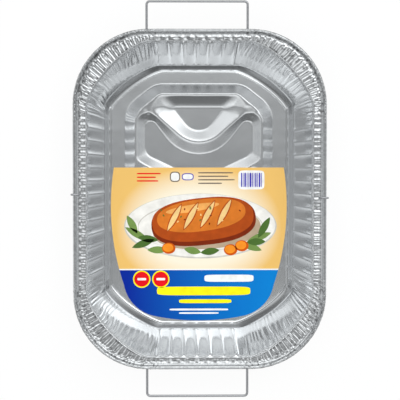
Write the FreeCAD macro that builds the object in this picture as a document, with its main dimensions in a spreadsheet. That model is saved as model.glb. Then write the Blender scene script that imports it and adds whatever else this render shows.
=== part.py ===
import FreeCAD, Part
import math
import os
from collections import namedtuple
from FreeCAD import Placement, Rotation, Vector

# Foil roasting pan in its wire cradle, with a printed card lying on the embossed rack.
# Millimetres, +Z up, +Y along the pan. The origin is on the ground under the middle of the pan.
# The wire loop lies on the ground, the side wire crosses on top of it, and the pan sits on both.

# Driving sizes: name, millimetres (or a plain number) and what it measures.
SIZES = (
    ("pan_length", 410.0, "rolled edge to rolled edge along Y"),
    ("pan_width", 305.4, "rolled edge to rolled edge along X"),
    ("pan_height", 86.0, "underside of the base to the top of the rolled edge"),
    ("foil", 0.25, "thickness of the pressed foil"),
    ("rim_corner", 91.3, "corner radius of the rolled edge"),
    ("bead_radius", 2.5, "radius of the rolled edge"),
    ("groove_width", 2.2, "groove between the rolled edge and the flange"),
    ("flange_drop", 4.4, "top of the rolled edge down to the flange"),
    ("groove_drop", 5.2, "top of the rolled edge down to the groove"),
    ("flange_side", 16.4, "long side: rolled edge to the inner edge of the flange"),
    ("flange_end", 15.3, "short side: rolled edge to the inner edge of the flange"),
    ("shoulder", 1.6, "width and depth of the bend between wall and flange"),
    ("mouth_corner_x", 74.0, "corner of the wall's top, along X"),
    ("mouth_corner_y", 78.0, "corner of the wall's top, along Y"),
    ("mouth_power", 1.4, "roundness of that corner: 1 is a chamfer, 2 an ellipse"),
    ("wall_run_side", 18.4, "how far a long wall leans out"),
    ("wall_run_end", 24.4, "how far a short wall leans out"),
    ("foot_corner_x", 66.0, "corner of the wall's foot, along X"),
    ("foot_corner_y", 48.0, "corner of the wall's foot, along Y"),
    ("foot_power", 1.3, "roundness of that corner"),
    ("step_run", 6.2, "width of the bevel round the base"),
    ("step_rise", 7.0, "height of the bevel round the base"),
    ("broad_margin_side", 15.2, "long wall: end of its broad pleats to the start of the corner"),
    ("broad_margin_end", 14.3, "short wall: end of its broad pleats to the start of the corner"),
    ("broad_fan", 0.955, "stretch of broad pleats at the foot, as a share of the top"),
    ("pleat_side", 8.04, "fold to fold on a long wall"),
    ("pleat_end", 8.0, "fold to fold on a short wall"),
    ("pleat_corner", 3.9, "fold to fold round a corner"),
    ("pleat_depth_top", 1.1, "height of a fold at the wall's top, either way"),
    ("pleat_depth_foot", 0.8, "height of a fold at the wall's foot, either way"),
    ("flange_pleat", 0.5, "height of a fold in the flange, either way"),
    ("rack_height", 8.5, "crests of the rack above the base"),
    ("rack_crest", 2.0, "flat width of a crest"),
    ("rack_slope", 12.0, "width of the slope beside a crest"),
    ("rack_margin_side", 31.4, "edge of the base to a long crest"),
    ("rack_margin_end", 29.7, "edge of the base to an end crest"),
    ("rack_corner_x", 32.3, "cut-off corner of the rack, along X"),
    ("rack_corner_y", 20.4, "cut-off corner of the rack, along Y"),
    ("rack_rim_round", 22.0, "corner radius of the rack's outer crest"),
    ("rack_arm_drop", 3.9, "end crest down to where the bent crest's arms point, at the long crests"),
    ("rack_bend_drop", 71.3, "end crest down to where those arms would meet without a bend"),
    ("rack_bend_round", 38.0, "bend radius of the bent crest"),
    ("rack_end_round", 16.0, "upper corners of an end hollow"),
    ("rack_shield_round", 13.0, "upper corners of a shield-shaped hollow"),
    ("rack_cross_drop", 78.9, "end crest down to where a diagonal crest meets the long one"),
    ("rack_cross_round", 10.0, "corner radius where the diagonals meet the crests and each other"),
    ("rack_floor_round", 3.0, "least corner radius of a hollow at the base"),
    ("loop_wire", 3.0, "thickness of the loop's wire"),
    ("loop_half_width", 60.6, "middle of the loop to a leg"),
    ("loop_shift", -3.2, "the loop's middle from the pan's middle, along X"),
    ("grip_reach", 33.0, "rolled edge to the middle of a grip's bar"),
    ("grip_bend", 4.0, "bend radius at a grip's corners"),
    ("leg_bend", 9.0, "bend radius of the legs under the flange and at the ground"),
    ("leg_slack", 1.0, "extra gap between a wire and the top of the wall, where the folds are deepest"),
    ("side_wire", 2.4, "thickness of the side wire"),
    ("side_wire_bend", 8.0, "bend radius of the side wire at the base"),
    ("side_wire_shift", 4.4, "the side wire's middle from the pan's middle, along Y"),
    ("side_wire_skew", -0.76, "turn of the side wire, degrees"),
    ("hook_inset", 8.3, "rolled edge to the middle of a hook's tip"),
    ("hook_drop", 1.6, "top of the rolled edge down to a hook's tip"),
    ("hook_bend", 2.6, "bend radius of a hook"),
    ("hook_root_bend", 3.9, "bend radius where a hook leaves the wall"),
    ("clearance", 0.3, "gap between the pieces that lie on each other"),
    ("card_thickness", 0.4, "thickness of the card"),
    ("card_margin_side", 7.5, "foot of a long wall to the card's widest line"),
    ("card_margin_end", 9.9, "foot of a short wall to the card's lowest point"),
    ("card_length", 193.0, "the card's lowest point up to its straight top edge"),
    ("card_wide_rise", 133.4, "lowest point up to the widest line"),
    ("card_low_rise", 45.4, "lowest point up to where the low corners start"),
    ("card_corner_rise", 20.9, "lowest point up to the middle of a low corner"),
    ("card_foot_rise", 6.2, "lowest point up to the ends of the bottom arc"),
    ("card_top_taper", 3.6, "widest line in to the ends of the top edge"),
    ("card_low_taper", 15.9, "widest line in to where the low corners start"),
    ("card_corner_taper", 27.9, "widest line in to the middle of a low corner"),
    ("card_foot_taper", 52.4, "widest line in to the ends of the bottom arc"),
)

doc = FreeCAD.newDocument("foil_roasting_pan")


def make_sheet():
    """The spreadsheet with the driving sizes, one row each."""
    sheet = doc.addObject("Spreadsheet::Sheet", "sizes")
    for row, (alias, value, meaning) in enumerate(SIZES, start=1):
        sheet.set(f"A{row}", alias)
        sheet.set(f"B{row}", str(value))
        sheet.set(f"C{row}", meaning)
        sheet.setAlias(f"B{row}", alias)
    doc.recompute()
    return sheet


sheet = make_sheet()
size = namedtuple("Size", [row[0] for row in SIZES])(*[float(sheet.get(row[0])) for row in SIZES])

# Levels, from the ground up.
LOOP_Z = size.loop_wire / 2
SIDE_WIRE_Z = size.loop_wire + size.clearance + size.side_wire / 2
BASE_Z = SIDE_WIRE_Z + size.side_wire / 2 + size.clearance
FLOOR_Z = BASE_Z + size.foil
RIM_Z = BASE_Z + size.pan_height
CARD_Z = FLOOR_Z + size.rack_height

# Half widths and half lengths of the pan, from the wall's top down to the base's edge.
MOUTH_X = size.pan_width / 2 - size.flange_side
MOUTH_Y = size.pan_length / 2 - size.flange_end
FOOT_X = MOUTH_X - size.wall_run_side
FOOT_Y = MOUTH_Y - size.wall_run_end
FLOOR_X = FOOT_X - size.step_run
FLOOR_Y = FOOT_Y - size.step_run

# Half the stretch of broad pleats at the wall's top, on a long and on a short wall.
BROAD_SIDE = MOUTH_Y - size.mouth_corner_y - size.broad_margin_side
BROAD_END = MOUTH_X - size.mouth_corner_x - size.broad_margin_end

# The rolled edge, from its inner side over the top and round to the tip under the flange.
BEAD_ANGLES = (150, 90, 45, 0, -75)

# Straight steps that stand for a corner of the pan, and the angle of one such step of the rack.
CURVE_STEPS = 160
RACK_STEP_DEGREES = 14

# Four points lie in a plane when the last is off it by less than this.
FLAT_ENOUGH = 1e-8


# Pan: outlines at each level

Level = namedtuple("Level", "half_x half_y corner_x corner_y power broad_x broad_y z fold_out fold_up")
Corner = namedtuple("Corner", "x y round")


def rim_level(inset, drop, fold_up=0.0):
    """A level of the rim, `inset` in from the rolled edge and `drop` below its top."""
    corner = size.rim_corner - inset
    return Level(size.pan_width / 2 - inset, size.pan_length / 2 - inset, corner, corner, 2.0,
                 BROAD_END, BROAD_SIDE, RIM_Z - drop, 0.0, fold_up)


def mouth_level():
    """The top of the wall, where the shoulder starts."""
    return Level(MOUTH_X, MOUTH_Y, size.mouth_corner_x, size.mouth_corner_y, size.mouth_power,
                 BROAD_END, BROAD_SIDE, RIM_Z - size.flange_drop - size.shoulder, size.pleat_depth_top, 0.0)


def pan_levels():
    """The middle of the foil from the floor's edge up the wall and round the rolled edge."""
    half = size.foil / 2
    mouth = mouth_level()
    foot = Level(FOOT_X, FOOT_Y, size.foot_corner_x, size.foot_corner_y, size.foot_power,
                 BROAD_END * size.broad_fan, BROAD_SIDE * size.broad_fan,
                 BASE_Z + size.step_rise, size.pleat_depth_foot, 0.0)
    floor_edge = foot._replace(half_x=FLOOR_X, half_y=FLOOR_Y, z=BASE_Z + half, fold_out=0.0)
    flange_edge = mouth._replace(half_x=MOUTH_X + size.shoulder, half_y=MOUTH_Y + size.shoulder,
                                 z=RIM_Z - size.flange_drop, fold_out=size.pleat_depth_top / 2,
                                 fold_up=size.flange_pleat)
    flange_out = rim_level(2 * size.bead_radius + 2 * size.groove_width, size.flange_drop, size.flange_pleat)
    groove = rim_level(2 * size.bead_radius + size.groove_width / 2, size.groove_drop)
    levels = [floor_edge, foot, mouth, flange_edge, flange_out, groove]
    bead = size.bead_radius - half
    for angle in BEAD_ANGLES:
        turn = math.radians(angle)
        inset = size.bead_radius - bead * math.cos(turn)
        levels.append(rim_level(inset, size.bead_radius - bead * math.sin(turn)))
    return levels


def corner_curve(level):
    """Points of one corner, from the end of the side's broad pleats to the start of the end's."""
    points = [Vector(level.half_x, level.broad_y, 0)]
    for step in range(CURVE_STEPS + 1):
        turn = math.pi / 2 * step / CURVE_STEPS
        across = abs(math.cos(turn)) ** (2 / level.power)
        along = abs(math.sin(turn)) ** (2 / level.power)
        points.append(Vector(level.half_x - level.corner_x * (1 - across),
                             level.half_y - level.corner_y * (1 - along), 0))
    points.append(Vector(level.broad_x, level.half_y, 0))
    return points


def even_folds(stretch, pitch):
    """How many folds fit a stretch: an even number, so that folds turn in and out by turns."""
    return 2 * round(stretch / pitch / 2)


def fold_counts():
    """Folds of a quarter of the pan: on the half long wall, round the corner, on the half short wall."""
    curve = corner_curve(mouth_level())
    corner = sum((end - start).Length for start, end in zip(curve, curve[1:]))
    return (even_folds(BROAD_SIDE, size.pleat_side), even_folds(corner, size.pleat_corner),
            even_folds(BROAD_END, size.pleat_end))


def evenly(points, pieces):
    """`pieces` - 1 inner points at equal steps along a polyline, each with its outward normal."""
    lengths = [0.0]
    for start, end in zip(points, points[1:]):
        lengths.append(lengths[-1] + (end - start).Length)
    spots = []
    piece = 1
    for index in range(1, len(points)):
        while piece < pieces and lengths[index] >= lengths[-1] * piece / pieces:
            span = points[index] - points[index - 1]
            share = (lengths[-1] * piece / pieces - lengths[index - 1]) / span.Length
            spots.append((points[index - 1] + span * share, Vector(span.y, -span.x, 0).normalize()))
            piece += 1
    return spots


def quarter(level):
    """Spots with normals from the middle of the +X side up to the middle of the +Y end."""
    side_folds, corner_folds, end_folds = fold_counts()
    side = [(Vector(level.half_x, level.broad_y * step / side_folds, 0), Vector(1, 0, 0))
            for step in range(side_folds + 1)]
    end = [(Vector(level.broad_x * step / end_folds, level.half_y, 0), Vector(0, 1, 0))
           for step in range(end_folds, -1, -1)]
    return side + evenly(corner_curve(level), corner_folds) + end


def all_round(level):
    """Spots with normals all round the pan, counterclockwise from the middle of the +X side."""
    first = quarter(level)
    half = first + [mirrored(spot, -1, 1) for spot in first[-2::-1]]
    return half + [mirrored(spot, 1, -1) for spot in half[-2:0:-1]]


def mirrored(spot, across, along):
    """A spot and its normal, mirrored by the signs given."""
    point, normal = spot
    return (Vector(point.x * across, point.y * along, 0), Vector(normal.x * across, normal.y * along, 0))


def skin_offsets(levels):
    """How far out and up the foil's surface lies from its middle at each level."""
    profile = [Vector(level.half_x, level.z, 0) for level in levels]
    profile.insert(0, profile[0] - Vector(1, 0, 0))
    normals = []
    for start, end in zip(profile, profile[1:]):
        span = end - start
        normals.append(Vector(-span.y, span.x, 0).normalize())
    offsets = []
    for before, after in zip(normals, normals[1:] + normals[-1:]):
        middle = (before + after).normalize()
        offsets.append(middle * (size.foil / 2 / middle.dot(after)))
    return offsets


def skin(levels, side):
    """Rings of points on one surface of the foil: `side` is 1 inside the pan and -1 outside."""
    rings = []
    for level, offset in zip(levels, skin_offsets(levels)):
        ring = []
        for index, (point, normal) in enumerate(all_round(level)):
            fold = 1 if index % 2 else -1
            out = level.fold_out * fold + offset.x * side
            up = level.z + level.fold_up * fold + offset.y * side
            ring.append(Vector(point.x + normal.x * out, point.y + normal.y * out, up))
        rings.append(ring)
    return rings


def band(lower, upper):
    """Flat faces between two rings: one where four corners lie in a plane, else two."""
    faces = []
    for index in range(len(lower)):
        after = (index + 1) % len(lower)
        a, b, c, d = lower[index], lower[after], upper[after], upper[index]
        lift = (b - a).cross(d - a).normalize().dot(c - a)
        corners = [(a, b, c, d)] if abs(lift) < FLAT_ENOUGH else [(a, b, c), (a, c, d)]
        if len(corners) == 2 and index % 2:
            corners = [(a, b, d), (b, c, d)]
        faces += [flat_face(list(loop)) for loop in corners]
    return faces


# Rack: a raised band of crests round and across the base, with six hollows between them

def inset_outline(corners, inset, z):
    """A closed ring of points: the corners moved in by `inset` (out if negative) and rounded.

    Rounds stay parallel: one that points out of the outline loses the inset, any other gains it.
    """
    count = len(corners)
    places = [Vector(corner.x, corner.y, 0) for corner in corners]
    moved = []
    rounds = []
    for index, corner in enumerate(corners):
        before = (places[index] - places[index - 1]).normalize()
        after = (places[(index + 1) % count] - places[index]).normalize()
        middle = Vector(-before.y - after.y, before.x + after.x, 0).normalize()
        moved.append(places[index] + middle * (inset / middle.dot(Vector(-after.y, after.x, 0))))
        side = math.copysign(1, before.cross(after).z)
        radius = max(corner.round - inset * side, size.rack_floor_round)
        rounds.append((radius, round(math.degrees(before.getAngle(after)) / RACK_STEP_DEGREES)))
    ring = []
    for index, (radius, steps) in enumerate(rounds):
        arc = rounded_corner(moved[index - 1], moved[index], moved[(index + 1) % count], radius)
        ring += [Vector(point.x, point.y, z) for point in arc.discretize(Number=steps + 1)]
    return ring


def rounded_corner(before, corner, after, radius):
    """The arc that replaces a corner between two straight lines."""
    back = (before - corner).normalize()
    ahead = (after - corner).normalize()
    half_angle = back.getAngle(ahead) / 2
    reach = radius / math.tan(half_angle)
    middle = corner + (back + ahead).normalize() * (radius / math.sin(half_angle) - radius)
    return Part.Arc(corner + back * reach, middle, corner + ahead * reach)


def flat_face(ring):
    """A flat face inside a ring of points."""
    return Part.Face(Part.makePolygon(ring + ring[:1]))


def flip(corner, across, along):
    """A corner mirrored by the signs given."""
    return corner._replace(x=corner.x * across, y=corner.y * along)


def rack_outlines():
    """Crest lines: the rack's rim and its hollows, each counterclockwise."""
    wide, long = FLOOR_X - size.rack_margin_side, FLOOR_Y - size.rack_margin_end
    shoulder = Corner(wide, long - size.rack_corner_y, size.rack_rim_round)
    end = Corner(wide - size.rack_corner_x, long, size.rack_rim_round)
    rim = [shoulder, end, flip(end, -1, 1), flip(shoulder, -1, 1)]
    rim += [flip(corner, 1, -1) for corner in reversed(rim)]

    arm = Corner(wide, long - size.rack_arm_drop, size.rack_shield_round)
    bend = Corner(0, long - size.rack_bend_drop, size.rack_bend_round)
    arm_end = Corner(wide * size.rack_bend_drop / (arm.y - bend.y), long, size.rack_end_round)
    joint = Corner(wide, long - size.rack_cross_drop, size.rack_cross_round)
    middle = Corner(0, 0, size.rack_cross_round)
    end_hollow = [bend, arm_end, flip(arm_end, -1, 1)]
    shield = [middle, joint, arm, bend, flip(arm, -1, 1), flip(joint, -1, 1)]
    side_hollow = [middle, flip(joint, 1, -1), joint]
    hollows = [end_hollow, shield, side_hollow]
    hollows += [[flip(corner, 1, -1) for corner in reversed(hollow)] for hollow in (end_hollow, shield)]
    hollows.append([flip(corner, -1, 1) for corner in reversed(side_hollow)])
    return rim, hollows


def rack_skin(foot_z):
    """One surface of the rack's foil above `foot_z`, and the outline of its foot."""
    rim, hollows = rack_outlines()
    crest_z = foot_z + size.rack_height
    half_crest = size.rack_crest / 2
    reach = half_crest + size.rack_slope
    foot = inset_outline(rim, -reach, foot_z)
    brow = inset_outline(rim, -half_crest, crest_z)
    brows = [inset_outline(hollow, half_crest, crest_z) for hollow in hollows]
    floors = [inset_outline(hollow, reach, foot_z) for hollow in hollows]
    faces = band(foot, brow)
    for brow_ring, floor_ring in zip(brows, floors):
        faces += band(floor_ring, brow_ring)
        faces.append(flat_face(floor_ring))
    faces += flat_face(brow).cut([flat_face(ring) for ring in brows]).Faces
    return faces, foot


def make_pan():
    """The pressed foil: one skin inside, one outside, sewn to one solid."""
    levels = pan_levels()
    inside = skin(levels, 1)
    outside = skin(levels, -1)
    faces = band(inside[-1], outside[-1])
    for rings, foot_z in ((inside, FLOOR_Z), (outside, BASE_Z)):
        for lower, upper in zip(rings, rings[1:]):
            faces += band(lower, upper)
        rack_faces, rack_foot = rack_skin(foot_z)
        faces += flat_face(rings[0]).cut(flat_face(rack_foot)).Faces + rack_faces
    sewn = Part.makeCompound(faces)
    sewn.sewShape()
    solid = Part.makeSolid(sewn.Shells[0])
    if solid.Volume < 0:
        solid.reverse()
    pan = doc.addObject("Part::Feature", "pan")
    pan.Label = "pan"
    pan.Shape = solid
    pan.Placement = Placement()
    return pan


# Wires

def bent_line(corners, bends, closed):
    """Straight runs joined by tangent arcs. A closed line starts in the middle of its last run."""
    if closed:
        start = (corners[-1] + corners[0]) / 2
        stops = [start] + corners + [start]
    else:
        stops = corners
    edges = []
    at = stops[0]
    for before, corner, after, bend in zip(stops, stops[1:], stops[2:], bends):
        arc = rounded_corner(before, corner, after, bend)
        edges += [Part.LineSegment(at, arc.StartPoint).toShape(), arc.toShape()]
        at = arc.EndPoint
    edges.append(Part.LineSegment(at, stops[-1]).toShape())
    return Part.Wire(edges)


def make_wire(name, path, thickness_alias, placement):
    """A round wire along a path, as a sweep of a circle bound to the sheet."""
    spine = doc.addObject("Part::Feature", f"{name}_path")
    spine.Shape = path
    first = path.OrderedEdges[0]
    section = doc.addObject("Part::Circle", f"{name}_section")
    section.setExpression("Radius", f"sizes.{thickness_alias} / 2")
    heading = first.tangentAt(first.FirstParameter)
    section.Placement = Placement(first.valueAt(first.FirstParameter), Rotation(Vector(0, 0, 1), heading))
    sweep = doc.addObject("Part::Sweep", name)
    sweep.Label = name
    sweep.Sections = [section]
    sweep.Spine = (spine, [f"Edge{index + 1}" for index in range(len(path.Edges))])
    sweep.Solid = True
    sweep.Frenet = False
    sweep.Placement = placement
    return sweep


def beside_wall(half_top, half_foot, wire):
    """Where a wire stands beside a wall: how far out at the flange, and how far at the base."""
    away = wire / 2 + size.pleat_depth_top + size.foil + size.clearance
    return half_top + away + size.leg_slack, half_foot + away


def make_handle_loop():
    """One closed wire: two rails on the ground, four legs up the end walls and two grips."""
    top_y, foot_y = beside_wall(MOUTH_Y, FOOT_Y, size.loop_wire)
    grip_y = size.pan_length / 2 + size.grip_reach
    grip_z = RIM_Z - 2 * size.bead_radius - size.flange_pleat - size.clearance - size.loop_wire / 2
    side = [Vector(size.loop_half_width, y, z) for y, z in (
        (-grip_y, grip_z), (-top_y, grip_z), (-foot_y, LOOP_Z),
        (foot_y, LOOP_Z), (top_y, grip_z), (grip_y, grip_z))]
    other = [Vector(-point.x, point.y, point.z) for point in reversed(side)]
    bends = [size.grip_bend] + [size.leg_bend] * 4 + [size.grip_bend]
    path = bent_line(side + other, bends * 2, True)
    return make_wire("handle_loop", path, "loop_wire", Placement(Vector(size.loop_shift, 0, 0), Rotation()))


def make_side_wire():
    """A wire under the pan whose two ends hook over the rolled edge of the long sides."""
    half_x = size.pan_width / 2
    top_x, foot_x = beside_wall(MOUTH_X, FOOT_X, size.side_wire)
    away = size.side_wire / 2 + size.clearance
    over_z = RIM_Z + away
    under_z = RIM_Z - 2 * size.bead_radius - size.flange_pleat - away
    right = [Vector(x, 0, z) for x, z in (
        (foot_x, SIDE_WIRE_Z), (top_x, under_z), (half_x + away, under_z), (half_x + away, over_z),
        (half_x - size.hook_inset, over_z), (half_x - size.hook_inset, RIM_Z - size.hook_drop))]
    left = [Vector(-point.x, 0, point.z) for point in reversed(right)]
    bends = [size.side_wire_bend, size.hook_root_bend, size.hook_bend, size.hook_bend, size.hook_bend]
    path = bent_line(left + right, bends[::-1] + bends, False)
    turn = Rotation(Vector(0, 0, 1), size.side_wire_skew)
    return make_wire("side_wire", path, "side_wire", Placement(Vector(0, size.side_wire_shift, 0), turn))


# Card

def origin_plane(body, role):
    """One of a body's own origin planes."""
    return next(plane for plane in body.Origin.OriginFeatures if plane.Role == role)


def make_card():
    """The printed card: straight top edge, bowed sides, round low corners and a bowed bottom."""
    body = doc.addObject("PartDesign::Body", "label_card")
    body.Label = "label_card"
    sketch = body.newObject("Sketcher::SketchObject", "card_outline")
    sketch.AttachmentSupport = (origin_plane(body, "XY_Plane"), [""])
    sketch.MapMode = "FlatFace"
    wide, low = FOOT_X - size.card_margin_side, size.card_margin_end - FOOT_Y
    right = [Vector(wide - taper, low + rise, 0) for taper, rise in (
        (size.card_top_taper, size.card_length), (0, size.card_wide_rise),
        (size.card_low_taper, size.card_low_rise), (size.card_corner_taper, size.card_corner_rise),
        (size.card_foot_taper, size.card_foot_rise))]
    left = [Vector(-point.x, point.y, 0) for point in right]
    bottom = Vector(0, low, 0)
    arcs = ((right[0], right[1], right[2]), (right[2], right[3], right[4]), (right[4], bottom, left[4]),
            (left[4], left[3], left[2]), (left[2], left[1], left[0]))
    for start, middle, end in arcs:
        sketch.addGeometry(Part.Arc(start, middle, end))
    sketch.addGeometry(Part.LineSegment(left[0], right[0]))
    pad = body.newObject("PartDesign::Pad", "card_pad")
    pad.Profile = sketch
    pad.setExpression("Length", "sizes.card_thickness")
    body.Placement = Placement(Vector(0, 0, CARD_Z), Rotation())
    return body


def check(parts):
    """Stops with a message if an object failed or a part has no good shape."""
    for thing in doc.Objects:
        if "Invalid" in thing.State or "Error" in thing.State:
            raise RuntimeError(f"{thing.Name} failed: {thing.State}")
    for piece in parts:
        if piece.Shape.isNull() or not piece.Shape.isValid() or not piece.Shape.Solids:
            raise RuntimeError(f"{piece.Label} has no good shape")


parts = [make_pan(), make_handle_loop(), make_side_wire(), make_card()]
doc.recompute()
check(parts)
os.makedirs("parts", exist_ok=True)
for piece in parts:
    piece.Shape.exportStep(f"parts/{piece.Label}.step")
    box = piece.Shape.BoundBox
    print(piece.Label, len(piece.Shape.Solids), "solid", len(piece.Shape.Faces), "faces",
          round(piece.Shape.Volume), "mm3", [round(v, 2) for v in
          (box.XMin, box.XMax, box.YMin, box.YMax, box.ZMin, box.ZMax)])
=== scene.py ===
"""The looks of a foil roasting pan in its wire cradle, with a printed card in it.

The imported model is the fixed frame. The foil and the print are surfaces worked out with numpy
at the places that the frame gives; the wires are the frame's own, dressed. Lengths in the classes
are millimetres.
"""

import logging
import math
from collections.abc import Iterator
from dataclasses import dataclass, replace
from enum import Enum
from itertools import chain

import bpy
import numpy as np
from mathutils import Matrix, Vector


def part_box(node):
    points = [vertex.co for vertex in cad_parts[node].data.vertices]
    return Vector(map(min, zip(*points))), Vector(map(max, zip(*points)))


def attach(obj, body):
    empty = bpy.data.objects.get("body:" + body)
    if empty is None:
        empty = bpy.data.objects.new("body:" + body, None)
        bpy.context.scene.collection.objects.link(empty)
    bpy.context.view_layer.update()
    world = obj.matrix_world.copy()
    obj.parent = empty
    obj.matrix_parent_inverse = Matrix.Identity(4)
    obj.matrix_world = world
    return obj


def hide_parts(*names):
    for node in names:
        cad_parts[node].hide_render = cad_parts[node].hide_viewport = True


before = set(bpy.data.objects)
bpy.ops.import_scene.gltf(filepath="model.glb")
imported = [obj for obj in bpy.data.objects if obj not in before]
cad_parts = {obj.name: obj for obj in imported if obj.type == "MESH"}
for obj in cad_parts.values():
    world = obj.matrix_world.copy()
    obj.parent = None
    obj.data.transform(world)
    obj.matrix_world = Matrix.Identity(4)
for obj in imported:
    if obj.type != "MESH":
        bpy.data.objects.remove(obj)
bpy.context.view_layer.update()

MM = 0.001
BODY = "root"
# Cells of the lattice for fine noise: along the foil and across it.
FINE = (1024, 64)
log = logging.getLogger("foil_pan")

# Short names for types. A corner of an outline is a triple of x, y and radius.
Piece = bpy.types.Object
Tree = bpy.types.NodeTree
Socket = bpy.types.NodeSocket
Node = bpy.types.Node
Material = bpy.types.Material
Array = np.ndarray
Triple = tuple[float, float, float]
Pair = tuple[float, float]
Colour = tuple[float, float, float, float]


# Meshes from arrays


def make_piece(name: str, points: Array, faces: Array, replaces: str | None,
               smooth: bool = True, shade: Array | None = None) -> Piece:
    """Puts points and faces into a mesh and makes it a piece of the object.

    Args:
        name: The piece's name.
        points: An (N, 3) array in millimetres.
        faces: An (M, 4) or (M, 3) array of point numbers, counterclockwise from outside.
        replaces: The CAD node that this piece stands for, or None.
        smooth: Whether the faces are shaded smooth.
        shade: How much painted shade darkens the surface at each point, 0 to 1, or None.

    Returns:
        The new object, riding on the one body.
    """
    mesh = bpy.data.meshes.new(name)
    corners = faces.shape[1]
    mesh.vertices.add(len(points))
    mesh.vertices.foreach_set("co", (points * MM).astype(np.float32).ravel())
    mesh.loops.add(faces.size)
    mesh.loops.foreach_set("vertex_index", faces.astype(np.int32).ravel())
    mesh.polygons.add(len(faces))
    mesh.polygons.foreach_set("loop_start", np.arange(0, faces.size, corners, dtype=np.int32))
    mesh.polygons.foreach_set("use_smooth", np.full(len(faces), smooth))
    mesh.update(calc_edges=True)
    mesh.validate()
    # The shade attribute carries painted shade, which the foil's material mixes into its colour.
    if shade is not None:
        values = mesh.attributes.new("shade", "FLOAT", "POINT").data
        values.foreach_set("value", shade.astype(np.float32).ravel())
    piece = bpy.data.objects.new(name, mesh)
    bpy.context.scene.collection.objects.link(piece)
    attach(piece, BODY)
    if replaces:
        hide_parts(replaces)
    return piece


def grid_faces(rows: int, columns: int, closed: bool) -> Array:
    """Four-cornered faces of a grid of points numbered row by row.

    Args:
        rows: How many rows the grid has.
        columns: How many points a row has.
        closed: Whether the last row joins the first, and each row's last point its first.

    Returns:
        An (M, 4) array of point numbers.
    """
    left_out = 0 if closed else 1
    row, column = np.meshgrid(np.arange(rows - left_out), np.arange(columns - left_out), indexing="ij")
    next_row = (row + 1) % rows
    next_column = (column + 1) % columns
    corners = (row * columns + column, row * columns + next_column,
               next_row * columns + next_column, next_row * columns + column)
    return np.stack([corner.ravel() for corner in corners], axis=1)


def surface_normals(grid: Array) -> Array:
    """Unit normals of a grid of points that closes along its columns.

    The normal is the cross product of the steps to the neighbours across the rows and along them, so
    it points up where the rows run outwards and each row counterclockwise.

    Args:
        grid: A (rows, columns, 3) array.

    Returns:
        An array of the same shape.
    """
    along = np.roll(grid, -1, axis=1) - np.roll(grid, 1, axis=1)
    across = np.gradient(grid, axis=0)
    normals = np.cross(across, along)
    return normals / np.maximum(np.linalg.norm(normals, axis=2, keepdims=True), 1e-9)


@dataclass(frozen=True)
class Crumple:
    """Smooth repeatable noise: random values on a lattice, joined by smooth steps."""

    seed: int
    cells_across: int = 64
    cells_along: int = 64

    def at(self, across: Array, along: Array) -> Array:
        """The noise between -1 and 1 at places counted in cells.

        Between lattice points a value is blended with the weight 3t² - 2t³ along each direction.

        Args:
            across: Places along the first direction, repeating after `cells_across`.
            along: Places along the second, repeating after `cells_along`.

        Returns:
            An array of the places' shape.
        """
        lattice = np.random.default_rng(self.seed).uniform(-1, 1, (self.cells_across, self.cells_along))
        low_across, low_along = np.floor(across).astype(int), np.floor(along).astype(int)
        part_across, part_along = across - low_across, along - low_along
        weight_across = part_across ** 2 * (3 - 2 * part_across)
        weight_along = part_along ** 2 * (3 - 2 * part_along)

        def value(step_across: int, step_along: int) -> Array:
            """The lattice's value at a cell's corner."""
            return lattice[(low_across + step_across) % self.cells_across,
                           (low_along + step_along) % self.cells_along]

        near = value(0, 0) * (1 - weight_along) + value(0, 1) * weight_along
        far = value(1, 0) * (1 - weight_along) + value(1, 1) * weight_along
        return near * (1 - weight_across) + far * weight_across


def soft_ramp(value: Array, softness: float) -> Array:
    """A ramp from 0 to 1 over the values 0 to 1, with both ends rounded by `softness`.

    It is half of one plus the difference of two hyperbolas, centred on 0 and on 1.
    """
    return 0.5 * (1 + np.sqrt(value ** 2 + softness ** 2) - np.sqrt((value - 1) ** 2 + softness ** 2))


def rising(value: Array, start: float, end: float) -> Array:
    """How far a value is on its way from `start` to `end`, kept between 0 and 1."""
    return np.clip((value - start) / (end - start), 0, 1)


def bell(value: Array, middle: float | Array, width: float) -> Array:
    """A bell curve: e to the power of minus the square of the distance in widths."""
    return np.exp(-((value - middle) / width) ** 2)


# Outlines of the pan


def mirrored(*corners: Triple) -> list[Triple]:
    """The corners of a form's right half, and the same ones mirrored to its left half."""
    return [*corners] + [(-x, y, radius) for x, y, radius in reversed(corners) if x]


def all_round(*corners: Triple) -> list[Triple]:
    """The corners of a form's upper right quarter, and the same ones in the other three."""
    top = mirrored(*corners)
    return top + [(-x, -y, radius) for x, y, radius in top]


def rounded_outline(corners: list[Triple], steps: int = 12) -> Array:
    """A closed line through corners, each rounded by an arc of its own radius.

    Args:
        corners: x, y and radius of each corner, in order round the outline.
        steps: How many straight steps an arc has.

    Returns:
        An (N, 2) array.
    """
    places = np.array([corner[:2] for corner in corners])
    line = []
    neighbours = zip(np.roll(places, 1, 0), places, np.roll(places, -1, 0))
    for (before, here, after), (_, _, radius) in zip(neighbours, corners):
        back = (before - here) / np.linalg.norm(before - here)
        ahead = (after - here) / np.linalg.norm(after - here)
        half = math.acos(float(np.clip(back @ ahead, -1, 1))) / 2
        inwards = (back + ahead) / np.linalg.norm(back + ahead)
        centre = here + inwards * radius / math.sin(half)
        start, end = here + back * radius / math.tan(half), here + ahead * radius / math.tan(half)
        swing = math.atan2(*(start - centre)[::-1])
        sweep = (math.atan2(*(end - centre)[::-1]) - swing + math.pi) % (2 * math.pi) - math.pi
        angles = swing + sweep * np.linspace(0, 1, steps + 1)
        line.append(centre + radius * np.stack([np.cos(angles), np.sin(angles)], axis=1))
    return np.concatenate(line)


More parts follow.
